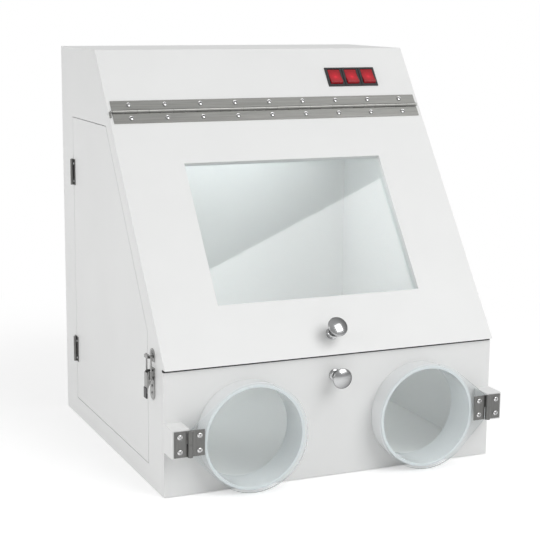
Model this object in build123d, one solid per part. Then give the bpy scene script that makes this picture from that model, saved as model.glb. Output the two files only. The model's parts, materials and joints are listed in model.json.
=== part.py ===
from build123d import *
import math
import os

os.makedirs("parts", exist_ok=True)

# A bench cabinet of white sheet: upright back and lower front, one long slope between them.
# Sizes are in millimetres. +Z is up, the front faces -Y and +X is the viewer's right.
# The origin is the centre of the footprint, on the bench.

# Outer form
WIDTH = 480
DEPTH = 456
HEIGHT = 558
TOP_DEPTH = 176
LIP_HEIGHT = 169
LIP_PROUD = 6
SHEET = 6
FRONT_SHEET = 6
CEILING_HEIGHT = 470

# Clearances: between sheets that part, beside an inset sheet, round a pin or a screw
SEAT_GAP = 0.3
DOOR_SEAM = 1.0
FIT = 0.05

# Lower front panel
PANEL_BOTTOM = 1
PANEL_TOP = 165.5
SEAL_THICKNESS = 3
SEAL_DEPTH = 5.5
CLEAT_HEIGHT = 9.7
CLEAT_DEPTH = 10
CLEAT_MARGIN = 4

# Arm ports
PORT_SPACING = 252
PORT_HEIGHT = 76.5
TUBE_RADIUS = 70
TUBE_WALL = 4
TUBE_INSIDE = 14
COVER_RADIUS = 73
COVER_THICKNESS = 3
COVER_STANDOFF = 32.5
TAB_RAISE = 4
TAB_HEIGHT = 34
TAB_GAP = 1.7
BLOCK_WIDTH = 23
BLOCK_HEIGHT = 38

# Lift-off hinges of the port covers
COVER_LEAF_REACH = 20.5
COVER_LEAF_LENGTH = 34
COVER_LEAF_THICKNESS = 1.2
COVER_KNUCKLE = 3.5
COVER_PIN = 1.7
COVER_SCREW_OFFSET = 13.3
COVER_SCREW_SPACING = 19.6
COVER_SCREW_HEAD = 3.6

# Window door, its pane and the frame behind it
HINGE_LINE = 102
WINDOW_DROP = 82.6
WINDOW_WIDTH = 298
WINDOW_LENGTH = 213.6
PANE_THICKNESS = 3
PANE_OVERLAP = 12
FRAME_THICKNESS = 6
FRAME_WIDTH = 20
FRAME_SETBACK = 1

# Piano hinge
PIANO_MARGIN = 5
PIANO_REACH = 18
PIANO_THICKNESS = 1
PIANO_KNUCKLE = 2.5
PIANO_PIN = 1.45
PIANO_KNUCKLES = 27
PIANO_SCREWS = 9
PIANO_SCREW_MARGIN = 25.4
PIANO_SCREW_OFFSET = 10.8
PIANO_SCREW_HEAD = 3.3
PIN_TAIL = 9
PIN_OVERHANG = 4
PIN_BEND = 3

# Screws
SCREW_SHANK = 1.6
SCREW_HEAD_HEIGHT = 1.6
BLOCK_SCREW_LENGTH = 12

# Mushroom knobs
KNOB_RADIUS = 13.7
KNOB_LENGTH = 28
KNOB_RIM_HEIGHT = 22.5
KNOB_RIM_BAND = 1.5
KNOB_STEM = 4.8
KNOB_STEM_TOP = 14
KNOB_FOOT = 8
KNOB_FOOT_HEIGHT = 1.6
KNOB_SCREW = 2
KNOB_SCREW_GRIP = 10
KNOB_SCREW_HEAD = 4
DOOR_KNOB_RISE = 29
PANEL_KNOB_DROP = 25.2

# Side door: margins from the back, the bench, the panel's face, the top and the slope
SIDE_DOOR_REAR = 58
SIDE_DOOR_BOTTOM = 29
SIDE_DOOR_FRONT = 62
SIDE_DOOR_TOP = 102
SIDE_DOOR_KNEE = 206
SLOPE_MARGIN_TOP = 28.7
SLOPE_MARGIN_KNEE = 40.8
STOP_OVERLAP = 8
STOP_BEARING = 10

# Butt hinges of the side door
SIDE_HINGE_HEIGHTS = (106, 375.5)
SIDE_LEAF_REACH = 9
SIDE_LEAF_LENGTH = 38
SIDE_LEAF_THICKNESS = 1
SIDE_KNUCKLE = 2.5
SIDE_PIN = 1.2
SIDE_KNUCKLES = 3
SIDE_SCREW_OFFSET = 5.8
SIDE_SCREW_SPACING = 26
SIDE_SCREW_HEAD = 2

# Toggle latch beside the side door
LATCH_SETBACK = 41
LATCH_PIVOT_HEIGHT = 156.5
LATCH_STANDOFF = 5.5
LATCH_SHEET = 1.2
LATCH_BASE_WIDTH = 17.4
LATCH_BASE_TOP = 7.5
LATCH_BASE_BOTTOM = 35.5
EAR_RADIUS = 3.5
EAR_THICKNESS = 1
EAR_INNER = 5.6
LATCH_RIVET = 1.4
LEVER_HALF = 5.2
LEVER_WALL = 1
LEVER_LENGTH = 25.5
LEVER_HEEL = 1.5
LEVER_TIP_LENGTH = 7
LEVER_TIP_WALL = 1
BAIL_WIRE = 1
BAIL_BAR = 1.2
BAIL_ARM = 7
BAIL_LENGTH = 30
BAIL_HALF = 9
BAIL_BAR_HALF = 11
STRIKE_WIDTH = 17
STRIKE_BELOW_BAR = 7.5
STRIKE_ABOVE_BAR = 9
STRIKE_HOLE_RISE = 4.5
HOOK_WIDTH = 12
HOOK_LIP = 1.5
HOOK_CLEARANCE = 2
LATCH_SCREW_HEAD = 2.2
LATCH_SCREW_HEAD_HEIGHT = 1

# Rocker switches
SWITCH_MARGIN = 57.3
BEZEL_WIDTH = 26.9
BEZEL_LENGTH = 32
BEZEL_PROUD = 2
BEZEL_CHAMFER = 0.7
HOUSING_WIDTH = 21.6
HOUSING_LENGTH = 27.6
HOUSING_DEPTH = 20
HOUSING_WALL = 1
CUTOUT_CLEARANCE = 0.1
ROCKER_CLEARANCE = 0.3
ROCKER_PIVOT_DEPTH = 4
ROCKER_TILT = 8
ROCKER_END_ANGLE = 26.7
ROCKER_FOOT_ANGLE = 35
ROCKER_DIP = 1.2
ROCKER_STUB = 1.4
TERMINAL_LENGTH = 8
TERMINAL_WIDTH = 6.3
TERMINAL_THICKNESS = 0.8
TERMINAL_SPACING = 14

# Lamps, their holders and the reflector
LAMP_RADIUS = 13
LAMP_LENGTH = 330
LAMP_PIN_LENGTH = 7
LAMP_PIN = 1.2
LAMP_PIN_SPACING = 12.7
LAMP_CAP_LENGTH = 14
LAMP_CAP_STEP = 0.4
LAMP_DROP = 30
UV_LAMP_Y = 150
WHITE_LAMP_Y = 80
HOLDER_WIDTH = 14
HOLDER_RADIUS = 15
REFLECTOR_LENGTH = 320
REFLECTOR_TOP = 34
REFLECTOR_BOTTOM = 76
REFLECTOR_DROP = 22
REFLECTOR_SHEET = 0.8

# Electrics above the ceiling
BALLAST_LENGTH = 150
BALLAST_WIDTH = 42
BALLAST_HEIGHT = 28
BALLAST_FOOT = 12
BALLAST_FOOT_THICKNESS = 2
BALLAST_X = -60
BALLAST_Y = 130
INLET_X = 160
INLET_HEIGHT = 514
INLET_FLANGE_WIDTH = 50
INLET_FLANGE_HEIGHT = 24
INLET_FLANGE_THICKNESS = 2.5
INLET_BODY_WIDTH = 28
INLET_BODY_HEIGHT = 20
INLET_DEPTH = 24
INLET_WALL = 2
INLET_RECESS = 15
INLET_CORNER = 4
INLET_BLADE_WIDTH = 2
INLET_BLADE_HEIGHT = 4
INLET_BLADE_SPACING = 7

# Planes and edges that follow from the sizes
BACK = DEPTH / 2
FRONT = -DEPTH / 2
SIDE = WIDTH / 2
INSIDE = SIDE - SHEET
TOP_EDGE = BACK - TOP_DEPTH
SEAT = FRONT_SHEET + SEAT_GAP
SEAT_FRONT = FRONT + SEAT
PANEL_BACK = FRONT + FRONT_SHEET
SLOPE_ANGLE = math.atan2(TOP_EDGE - FRONT + LIP_PROUD, HEIGHT - LIP_HEIGHT)
SLOPE_SIN = math.sin(SLOPE_ANGLE)
SLOPE_COS = math.cos(SLOPE_ANGLE)
SLOPE = Location(Plane(origin=(0, TOP_EDGE, HEIGHT), x_dir=(1, 0, 0), z_dir=(0, -SLOPE_COS, SLOPE_SIN)))
FASCIA_LENGTH = HINGE_LINE - DOOR_SEAM / 2
DOOR_START = HINGE_LINE + DOOR_SEAM / 2
DOOR_END = (HEIGHT - LIP_HEIGHT) / SLOPE_COS
BENEATH = (Align.CENTER, Align.CENTER, Align.MAX)
ABOVE = (Align.CENTER, Align.CENTER, Align.MIN)


def slope_y(height, depth=0):
    """Y of the slope's face at a height, or of the plane that lies a depth below that face."""
    return TOP_EDGE - (HEIGHT - height) * SLOPE_SIN / SLOPE_COS + depth / SLOPE_COS


def down_slope(distance, depth=0):
    """The (y, z) at a distance down the slope from its top edge and a depth below its face."""
    y = TOP_EDGE - distance * SLOPE_SIN + depth * SLOPE_COS
    z = HEIGHT - distance * SLOPE_COS - depth * SLOPE_SIN
    return (y, z)


def prism(points, x_low, x_high):
    """A solid with a profile of (y, z) points that runs along X."""
    profile = make_face(Polyline(*points, close=True))
    return extrude(Plane.YZ.offset(x_low) * profile, x_high - x_low, dir=(1, 0, 0))


def board(x_limits, y_limits, z_limits):
    """A box between its limits along X, Y and Z."""
    limits = (x_limits, y_limits, z_limits)
    size = [high - low for low, high in limits]
    centre = [(high + low) / 2 for low, high in limits]
    return Pos(*centre) * Box(*size)


def group(pieces):
    """Separate solids kept together in one node."""
    return Compound(children=[piece.solid() for piece in pieces])


def drill(shape, places, radius, depth):
    """The shape with a round hole at each place, down its -Z."""
    for place in places:
        shape = shape - place * Cylinder(radius, depth, align=BENEATH)
    return shape


def pan_screw(head, head_height, shank, length):
    """A screw whose head sits on z = 0 and whose shank runs down -Z."""
    return Cylinder(head, head_height, align=ABOVE) + Cylinder(shank, length, align=BENEATH)


def screws(places, head, shank, length, head_height=SCREW_HEAD_HEIGHT):
    """One screw at each place."""
    return group([place * pan_screw(head, head_height, shank, length) for place in places])


def on_front(x, z):
    """A place on the front panel's face: X to the right, Y up and Z towards the viewer."""
    return Location(Plane(origin=(x, FRONT, z), x_dir=(1, 0, 0), z_dir=(0, -1, 0)))


def save(name, shape):
    export_step(shape, f"parts/{name}.step")


# Hinges

def hinge_leaf(length, reach, thickness, knuckle, bore, count, own):
    """A leaf beside a pin on local Z. It lies flat on y = -knuckle and reaches towards +X.

    The knuckles are counted from the lower end, and own says which of them are this leaf's.
    """
    clear = knuckle + SEAT_GAP
    pitch = length / count
    leaf = board((clear, reach), (-knuckle, thickness - knuckle), (-length / 2, length / 2))
    barrel = Circle(knuckle) + Pos(clear / 2, (thickness - 2 * knuckle) / 2) * Rectangle(clear, thickness)
    barrel = barrel - Circle(bore)
    for index in own:
        low = -length / 2 + index * pitch
        start = low + (SEAT_GAP / 2 if index > 0 else 0)
        end = low + pitch - (SEAT_GAP / 2 if index < count - 1 else 0)
        leaf = leaf + Pos(0, 0, start) * extrude(barrel, end - start)
    return leaf


def leaf_screw_places(frame, side, offset, thickness, knuckle, heights):
    """Where a leaf's screws sit, in the model's frame. side is +1 or -1 along the leaf frame's X."""
    seats = [Plane(origin=(side * offset, thickness - knuckle, z), z_dir=(0, 1, 0)) for z in heights]
    return [frame * Location(seat) for seat in seats]


def two_rows(spacing):
    return (-spacing / 2, spacing / 2)


# Piano hinge across the slope, between the fascia and the window door

PIANO_LENGTH = WIDTH - 2 * PIANO_MARGIN
PIANO_BORE = PIANO_PIN + FIT
piano_frame = SLOPE * Location(
    Plane(origin=(0, -HINGE_LINE, PIANO_KNUCKLE), x_dir=(0, 1, 0), z_dir=(1, 0, 0)))
piano_span = PIANO_LENGTH / 2 - PIANO_SCREW_MARGIN
piano_heights = [-piano_span + 2 * piano_span * i / (PIANO_SCREWS - 1) for i in range(PIANO_SCREWS)]
piano_upper_places = leaf_screw_places(
    piano_frame, 1, PIANO_SCREW_OFFSET, PIANO_THICKNESS, PIANO_KNUCKLE, piano_heights)
piano_lower_places = leaf_screw_places(
    piano_frame, -1, PIANO_SCREW_OFFSET, PIANO_THICKNESS, PIANO_KNUCKLE, piano_heights)
PIANO_SCREW_LENGTH = PIANO_THICKNESS + FRONT_SHEET
SCREW_HOLE = SCREW_SHANK + FIT


def piano_leaf(own):
    return hinge_leaf(
        PIANO_LENGTH, PIANO_REACH, PIANO_THICKNESS, PIANO_KNUCKLE, PIANO_BORE, PIANO_KNUCKLES, own)


upper_leaf = piano_frame * piano_leaf(range(0, PIANO_KNUCKLES, 2))
lower_leaf = piano_frame * mirror(piano_leaf(range(1, PIANO_KNUCKLES, 2)), about=Plane.YZ)
save("piano_upper_leaf", drill(upper_leaf, piano_upper_places, SCREW_HOLE, PIANO_SCREW_LENGTH))
save("piano_lower_leaf", drill(lower_leaf, piano_lower_places, SCREW_HOLE, PIANO_SCREW_LENGTH))
save("piano_upper_screws", screws(piano_upper_places, PIANO_SCREW_HEAD, SCREW_SHANK, PIANO_SCREW_LENGTH))
save("piano_lower_screws", screws(piano_lower_places, PIANO_SCREW_HEAD, SCREW_SHANK, PIANO_SCREW_LENGTH))

# The pin runs through the knuckles, and its left end is bent down the slope
pin_path = FilletPolyline(
    (PIANO_LENGTH / 2, 0),
    (-PIANO_LENGTH / 2 - PIN_OVERHANG, 0),
    (-PIANO_LENGTH / 2 - PIN_OVERHANG, -PIN_TAIL),
    radius=PIN_BEND)
pin_start = Plane(origin=pin_path @ 0, z_dir=pin_path % 0)
pin = SLOPE * Pos(0, -HINGE_LINE, PIANO_KNUCKLE) * sweep(pin_start * Circle(PIANO_PIN), path=pin_path)
save("piano_pin", pin)


# Switch fascia and its three rocker switches

switch_places = [
    SLOPE * Pos(SIDE - SWITCH_MARGIN - (2.5 - i) * BEZEL_WIDTH, -FASCIA_LENGTH / 2, 0) for i in range(3)]
PIVOT_LEVEL = BEZEL_PROUD - ROCKER_PIVOT_DEPTH
POCKET_WIDTH = HOUSING_WIDTH - 2 * HOUSING_WALL
POCKET_LENGTH = HOUSING_LENGTH - 2 * HOUSING_WALL
ROCKER_RADIUS = POCKET_LENGTH / 2 - ROCKER_CLEARANCE
ROCKER_WIDTH = POCKET_WIDTH - 2 * ROCKER_CLEARANCE
POCKET_DEPTH = ROCKER_PIVOT_DEPTH + ROCKER_RADIUS * 0.75


def switch_housing():
    """A black housing: chamfered bezel on the sheet, body through it, pocket for the rocker."""
    bezel = Box(BEZEL_WIDTH - 2 * CUTOUT_CLEARANCE, BEZEL_LENGTH, BEZEL_PROUD, align=ABOVE)
    bezel = chamfer(bezel.faces().sort_by(Axis.Z)[-1].edges(), BEZEL_CHAMFER)
    body = Box(HOUSING_WIDTH, HOUSING_LENGTH, HOUSING_DEPTH, align=BENEATH)
    pocket = Pos(0, 0, BEZEL_PROUD) * Box(POCKET_WIDTH, POCKET_LENGTH, POCKET_DEPTH, align=BENEATH)
    pivot_hole = Pos(0, 0, PIVOT_LEVEL) * Rot(0, 90, 0) * Cylinder(ROCKER_STUB + FIT, HOUSING_WIDTH)
    blade = Box(TERMINAL_THICKNESS, TERMINAL_WIDTH, TERMINAL_LENGTH, align=BENEATH)
    housing = bezel + body - pocket - pivot_hole
    for y in two_rows(TERMINAL_SPACING):
        housing = housing + Pos(0, y, -HOUSING_DEPTH) * blade
    return housing


def rocker():
    """A rocker with ends rounded about its pivot, two faces that dip to the middle, two stubs."""
    def end_point(side, angle):
        turn = math.radians(angle)
        return (side * ROCKER_RADIUS * math.cos(turn), ROCKER_RADIUS * math.sin(turn))

    top_right = end_point(1, ROCKER_END_ANGLE)
    top_left = end_point(-1, ROCKER_END_ANGLE)
    foot_right = end_point(1, -ROCKER_FOOT_ANGLE)
    foot_left = end_point(-1, -ROCKER_FOOT_ANGLE)
    middle = (0, top_right[1] - ROCKER_DIP)
    outline = Line(top_left, middle) + Line(middle, top_right)
    outline = outline + ThreePointArc(top_right, (ROCKER_RADIUS, 0), foot_right)
    outline = outline + Line(foot_right, foot_left)
    outline = outline + ThreePointArc(foot_left, (-ROCKER_RADIUS, 0), top_left)
    cap = extrude(Plane.YZ * make_face(outline), ROCKER_WIDTH / 2, dir=(1, 0, 0), both=True)
    stub_length = HOUSING_WIDTH - 2 * ROCKER_CLEARANCE
    return cap + Rot(0, 90, 0) * Cylinder(ROCKER_STUB, stub_length)


# At rest the upper half of each rocker is pressed
tilted_rocker = Pos(0, 0, PIVOT_LEVEL) * Rot(-ROCKER_TILT, 0, 0) * rocker()
save("switch_housings", group([place * switch_housing() for place in switch_places]))
for number, place in enumerate(switch_places, start=1):
    save(f"rocker_{number}", place * tilted_rocker)

fascia = prism(
    [(TOP_EDGE, HEIGHT), (slope_y(HEIGHT, FRONT_SHEET), HEIGHT),
     down_slope(FASCIA_LENGTH, FRONT_SHEET), down_slope(FASCIA_LENGTH)], -SIDE, SIDE)
cutout = Box(
    HOUSING_WIDTH + 2 * CUTOUT_CLEARANCE, HOUSING_LENGTH + 2 * CUTOUT_CLEARANCE, 3 * FRONT_SHEET)
for place in switch_places:
    fascia = fascia - place * cutout
save("switch_fascia", drill(fascia, piano_upper_places, SCREW_HOLE, PIANO_SCREW_LENGTH + SEAT_GAP))


# Mushroom knobs

def knob():
    """A turned knob that stands on z = 0: foot, slim stem, flared head and low dome."""
    foot = (KNOB_FOOT, KNOB_FOOT_HEIGHT)
    neck = (KNOB_STEM, KNOB_FOOT_HEIGHT + KNOB_FOOT - KNOB_STEM)
    rim_low = (KNOB_RADIUS, KNOB_RIM_HEIGHT)
    rim_high = (KNOB_RADIUS, KNOB_RIM_HEIGHT + KNOB_RIM_BAND)
    crown = (0, KNOB_LENGTH)
    profile = Polyline((0, 0), (KNOB_FOOT, 0), foot)
    profile = profile + RadiusArc(foot, neck, KNOB_FOOT - KNOB_STEM)
    profile = profile + Line(neck, (KNOB_STEM, KNOB_STEM_TOP))
    profile = profile + TangentArc((KNOB_STEM, KNOB_STEM_TOP), rim_low, tangent=(0, 1))
    profile = profile + Line(rim_low, rim_high)
    profile = profile + TangentArc(crown, rim_high, tangent=(1, 0))
    profile = profile + Line(crown, (0, 0))
    solid = revolve(Plane.XZ * make_face(profile), Axis.Z)
    bore = Cylinder(KNOB_SCREW + FIT, KNOB_SCREW_GRIP + SEAT_GAP, align=ABOVE)
    return solid - bore


def knob_screw(sheet):
    """The screw behind a knob. Its head bears on the back of the sheet."""
    head = Pos(0, 0, -sheet) * Cylinder(KNOB_SCREW_HEAD, SCREW_HEAD_HEIGHT, align=BENEATH)
    shank = Pos(0, 0, KNOB_SCREW_GRIP) * Cylinder(KNOB_SCREW, KNOB_SCREW_GRIP + sheet, align=BENEATH)
    return head + shank


door_knob_place = SLOPE * Pos(0, DOOR_KNOB_RISE - DOOR_END, 0)
panel_knob_place = on_front(0, PANEL_TOP - PANEL_KNOB_DROP)
save("door_knob", door_knob_place * knob())
save("door_knob_screw", door_knob_place * knob_screw(FRONT_SHEET))
save("panel_knob", panel_knob_place * knob())
save("panel_knob_screw", panel_knob_place * knob_screw(FRONT_SHEET))


# Window door: one sheet with a rectangular window, its pane and the frame that holds the pane

window_place = SLOPE * Pos(0, -DOOR_START - WINDOW_DROP - WINDOW_LENGTH / 2, 0)
lip_back = (slope_y(LIP_HEIGHT, FRONT_SHEET), LIP_HEIGHT)
lip_front = (slope_y(LIP_HEIGHT), LIP_HEIGHT)
door = prism([down_slope(DOOR_START), down_slope(DOOR_START, FRONT_SHEET), lip_back, lip_front], -SIDE, SIDE)
door = door - window_place * Box(WINDOW_WIDTH, WINDOW_LENGTH, 3 * FRONT_SHEET)
door = drill(door, piano_lower_places, SCREW_HOLE, PIANO_SCREW_LENGTH + SEAT_GAP)
door = drill(door, [door_knob_place], KNOB_SCREW + FIT, 2 * FRONT_SHEET)
save("window_door", door)

pane_width = WINDOW_WIDTH + 2 * PANE_OVERLAP
pane_length = WINDOW_LENGTH + 2 * PANE_OVERLAP
pane = Pos(0, 0, -FRONT_SHEET) * Box(pane_width, pane_length, PANE_THICKNESS, align=BENEATH)
save("window_pane", window_place * pane)

frame_inner_width = WINDOW_WIDTH + 2 * FRAME_SETBACK
frame_inner_length = WINDOW_LENGTH + 2 * FRAME_SETBACK
glazing = Box(
    frame_inner_width + 2 * FRAME_WIDTH, frame_inner_length + 2 * FRAME_WIDTH, FRAME_THICKNESS,
    align=BENEATH)
glazing = glazing - Box(frame_inner_width, frame_inner_length, 3 * FRAME_THICKNESS)
rebate = Box(
    pane_width + 2 * CUTOUT_CLEARANCE, pane_length + 2 * CUTOUT_CLEARANCE,
    PANE_THICKNESS + CUTOUT_CLEARANCE, align=BENEATH)
save("glazing_frame", window_place * Pos(0, 0, -FRONT_SHEET) * (glazing - rebate))


# Side door, inset in the left side, and the frame that it closes on

side_door_rear = BACK - SIDE_DOOR_REAR
side_door_front = FRONT + SIDE_DOOR_FRONT
side_door_top = HEIGHT - SIDE_DOOR_TOP
side_door_outline = make_face(Polyline(
    (side_door_rear, SIDE_DOOR_BOTTOM),
    (side_door_front, SIDE_DOOR_BOTTOM),
    (slope_y(SIDE_DOOR_KNEE) + SLOPE_MARGIN_KNEE, SIDE_DOOR_KNEE),
    (slope_y(side_door_top) + SLOPE_MARGIN_TOP, side_door_top),
    (side_door_rear, side_door_top),
    close=True))


def side_sheet(growth, x_low, thickness):
    """A sheet of the side door's outline, grown or shrunk, that lies between two X planes."""
    outline = offset(side_door_outline, growth, kind=Kind.INTERSECTION)
    return extrude(Plane.YZ.offset(x_low) * outline, thickness, dir=(1, 0, 0))


SIDE_LEAF_BORE = SIDE_PIN + FIT
SIDE_SCREW_SHANK = 1.2
SIDE_SCREW_HOLE = SIDE_SCREW_SHANK + FIT
SIDE_SCREW_LENGTH = SIDE_LEAF_THICKNESS + SHEET - 1
side_hinge_y = side_door_rear + DOOR_SEAM / 2
side_hinge_frames = [
    Location(Plane(origin=(-SIDE - SIDE_KNUCKLE, side_hinge_y, z), x_dir=(0, 1, 0), z_dir=(0, 0, 1)))
    for z in SIDE_HINGE_HEIGHTS]


def side_screw_places(side):
    places = []
    for frame in side_hinge_frames:
        places = places + leaf_screw_places(
            frame, side, SIDE_SCREW_OFFSET, SIDE_LEAF_THICKNESS, SIDE_KNUCKLE,
            two_rows(SIDE_SCREW_SPACING))
    return places


def side_leaf(own):
    return hinge_leaf(
        SIDE_LEAF_LENGTH, SIDE_LEAF_REACH, SIDE_LEAF_THICKNESS, SIDE_KNUCKLE, SIDE_LEAF_BORE,
        SIDE_KNUCKLES, own)


frame_screw_places = side_screw_places(1)
door_screw_places = side_screw_places(-1)
rear_leaf = side_leaf(range(0, SIDE_KNUCKLES, 2))
front_leaf = mirror(side_leaf(range(1, SIDE_KNUCKLES, 2)), about=Plane.YZ)
save("side_frame_leaves", group(
    [drill(frame * rear_leaf, frame_screw_places, SIDE_SCREW_HOLE, SHEET) for frame in side_hinge_frames]))
save("side_door_leaves", group(
    [drill(frame * front_leaf, door_screw_places, SIDE_SCREW_HOLE, SHEET) for frame in side_hinge_frames]))
save("side_frame_screws", screws(frame_screw_places, SIDE_SCREW_HEAD, SIDE_SCREW_SHANK, SIDE_SCREW_LENGTH))
save("side_door_screws", screws(door_screw_places, SIDE_SCREW_HEAD, SIDE_SCREW_SHANK, SIDE_SCREW_LENGTH))
save("side_hinge_pins", group([frame * Cylinder(SIDE_PIN, SIDE_LEAF_LENGTH) for frame in side_hinge_frames]))

side_door = side_sheet(0, -SIDE, SHEET)
save("side_door", drill(side_door, door_screw_places, SIDE_SCREW_HOLE, SIDE_SCREW_LENGTH + SEAT_GAP))
stop = side_sheet(STOP_BEARING, -INSIDE + SEAT_GAP, SHEET) - side_sheet(-STOP_OVERLAP, -INSIDE, 2 * SHEET)
save("side_door_stop", stop)


# Toggle latch: the bail hangs on the lever and its bar lies in the hook of the strike

latch_y = FRONT + LATCH_SETBACK
latch_place = Location(
    Plane(origin=(-SIDE, latch_y, LATCH_PIVOT_HEIGHT), x_dir=(0, 1, 0), z_dir=(-1, 0, 0)))


# In the latch's frame X runs to the rear, Y points down and Z stands out from the side

def latch_plate(outline, low, thickness):
    return Pos(0, 0, low) * extrude(outline, thickness, dir=(0, 0, 1))


def cheek(outline, inner, thickness):
    """The same profile on both sides of the latch's middle. Its X points down, its Y out."""
    sheet = extrude(Plane.YZ.offset(inner) * outline, thickness, dir=(1, 0, 0))
    return sheet + mirror(sheet, about=Plane.YZ)


def latch_base():
    """A plate with a rounded lower end, and two ears round the rivet."""
    round_end = LATCH_BASE_WIDTH / 2
    straight = LATCH_BASE_BOTTOM - round_end + LATCH_BASE_TOP
    outline = Pos(0, straight / 2 - LATCH_BASE_TOP) * Rectangle(LATCH_BASE_WIDTH, straight)
    outline = outline + Pos(0, LATCH_BASE_BOTTOM - round_end) * Circle(round_end)
    ear = Pos(0, LATCH_STANDOFF) * Circle(EAR_RADIUS)
    ear = ear + Pos(0, LATCH_STANDOFF / 2) * Rectangle(2 * EAR_RADIUS, LATCH_STANDOFF)
    ear = ear - Pos(0, LATCH_STANDOFF) * Circle(LATCH_RIVET + FIT)
    return latch_plate(outline, 0, LATCH_SHEET) + cheek(ear, EAR_INNER, EAR_THICKNESS)


def latch_lever():
    """A folded lever: outer face, and two cheeks that hold the rivet and the bail's ends."""
    face_level = LATCH_STANDOFF + EAR_RADIUS
    length = LEVER_LENGTH + LEVER_HEEL
    face = Pos(0, (LEVER_LENGTH - LEVER_HEEL) / 2, face_level) * Box(
        2 * LEVER_HALF, length, LEVER_WALL, align=ABOVE)
    side = Pos(0, LATCH_STANDOFF) * Circle(EAR_RADIUS - 2 * SEAT_GAP)
    side = side + Pos(BAIL_ARM, LATCH_STANDOFF) * Circle(EAR_RADIUS - 2 * SEAT_GAP)
    reach = face_level - LATCH_STANDOFF
    side = side + make_face(Polyline(
        (-LEVER_HEEL, face_level), (-LEVER_HEEL, LATCH_STANDOFF),
        (0, LATCH_STANDOFF - reach + 2 * SEAT_GAP), (BAIL_ARM, LATCH_STANDOFF - reach + 2 * SEAT_GAP),
        (LEVER_LENGTH - LEVER_TIP_LENGTH, face_level - LEVER_WALL), (LEVER_LENGTH, face_level),
        close=True))
    side = side - Pos(0, LATCH_STANDOFF) * Circle(LATCH_RIVET + FIT)
    side = side - Pos(BAIL_ARM, LATCH_STANDOFF) * Circle(BAIL_WIRE + FIT)
    return face + cheek(side, LEVER_HALF - LEVER_WALL, LEVER_WALL)


def latch_lever_tip():
    """A moulded cap over the lever's free end."""
    start = LEVER_LENGTH - LEVER_TIP_LENGTH
    face_level = LATCH_STANDOFF + EAR_RADIUS
    cap = Pos(0, start, face_level + LEVER_WALL) * Box(
        2 * LEVER_HALF, 2 * LEVER_TIP_LENGTH, LEVER_TIP_WALL, align=(Align.CENTER, Align.MIN, Align.MIN))
    nose = Pos(0, LEVER_LENGTH, face_level) * Box(
        2 * LEVER_HALF, LEVER_TIP_LENGTH, LEVER_WALL, align=(Align.CENTER, Align.MIN, Align.MIN))
    return cap + nose


def latch_bail():
    """A wire bail: ends turned in to the lever's cheeks, two legs and a thicker cross bar."""
    inner = LEVER_HALF - LEVER_WALL
    path = Polyline((inner, BAIL_ARM), (BAIL_HALF, BAIL_ARM), (BAIL_HALF, BAIL_ARM - BAIL_LENGTH))
    start = Plane(origin=path @ 0, z_dir=path % 0)
    leg = sweep(start * Circle(BAIL_WIRE), path=path, transition=Transition.RIGHT)
    bar = Pos(0, BAIL_ARM - BAIL_LENGTH, 0) * Rot(0, 90, 0) * Cylinder(BAIL_BAR, 2 * BAIL_BAR_HALF)
    return Pos(0, 0, LATCH_STANDOFF) * (leg + mirror(leg, about=Plane.YZ) + bar)


BAR_LEVEL = BAIL_ARM - BAIL_LENGTH


def latch_strike():
    """A plate with an arched top, and a hook that holds the bail's bar from below and outside."""
    arch = STRIKE_WIDTH / 2
    low = BAR_LEVEL + STRIKE_BELOW_BAR
    high = BAR_LEVEL - STRIKE_ABOVE_BAR
    outline = Pos(0, high + arch) * Circle(arch)
    outline = outline + Pos(0, (low + high + arch) / 2) * Rectangle(STRIKE_WIDTH, low - high - arch)
    shelf_level = BAR_LEVEL + BAIL_BAR + SEAT_GAP
    lip_level = LATCH_STANDOFF + BAIL_BAR + HOOK_CLEARANCE
    shelf = board(
        (-HOOK_WIDTH / 2, HOOK_WIDTH / 2), (shelf_level, shelf_level + LATCH_SHEET),
        (0, lip_level + LATCH_SHEET))
    lip = board(
        (-HOOK_WIDTH / 2, HOOK_WIDTH / 2), (BAR_LEVEL - HOOK_LIP, shelf_level + LATCH_SHEET),
        (lip_level, lip_level + LATCH_SHEET))
    return latch_plate(outline, 0, LATCH_SHEET) + shelf + lip


def latch_screw_place(down):
    return latch_place * Pos(0, down, LATCH_SHEET)


LATCH_SCREW_LENGTH = LATCH_SHEET + SHEET - 1
strike_screw_places = [latch_screw_place(BAR_LEVEL - STRIKE_HOLE_RISE)]
base_screw_places = [
    latch_screw_place(LATCH_BASE_BOTTOM - LATCH_BASE_WIDTH / 2),
    latch_screw_place(LATCH_BASE_WIDTH)]
latch_screw_places = strike_screw_places + base_screw_places
rivet_length = 2 * (EAR_INNER + EAR_THICKNESS) + 2 * EAR_THICKNESS
save("latch_base", drill(latch_place * latch_base(), base_screw_places, SIDE_SCREW_HOLE, SHEET))
save("latch_strike", drill(latch_place * latch_strike(), strike_screw_places, SIDE_SCREW_HOLE, SHEET))
save("latch_lever", latch_place * latch_lever())
save("latch_lever_tip", latch_place * latch_lever_tip())
save("latch_bail", latch_place * latch_bail())
save("latch_pivot", latch_place * Pos(0, 0, LATCH_STANDOFF) * Rot(0, 90, 0) * Cylinder(LATCH_RIVET, rivet_length))
save("latch_screws", screws(
    latch_screw_places, LATCH_SCREW_HEAD, SIDE_SCREW_SHANK, LATCH_SCREW_LENGTH, LATCH_SCREW_HEAD_HEIGHT))


# Carcass sheets

nose_height = LIP_HEIGHT - SEAT_GAP / 3
side_points = [
    (BACK, 0), (SEAT_FRONT, 0), (SEAT_FRONT, nose_height), (slope_y(nose_height, SEAT), nose_height),
    (slope_y(HEIGHT, SEAT), HEIGHT), (BACK, HEIGHT)]
save("right_side_panel", prism(side_points, INSIDE, SIDE))

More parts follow.
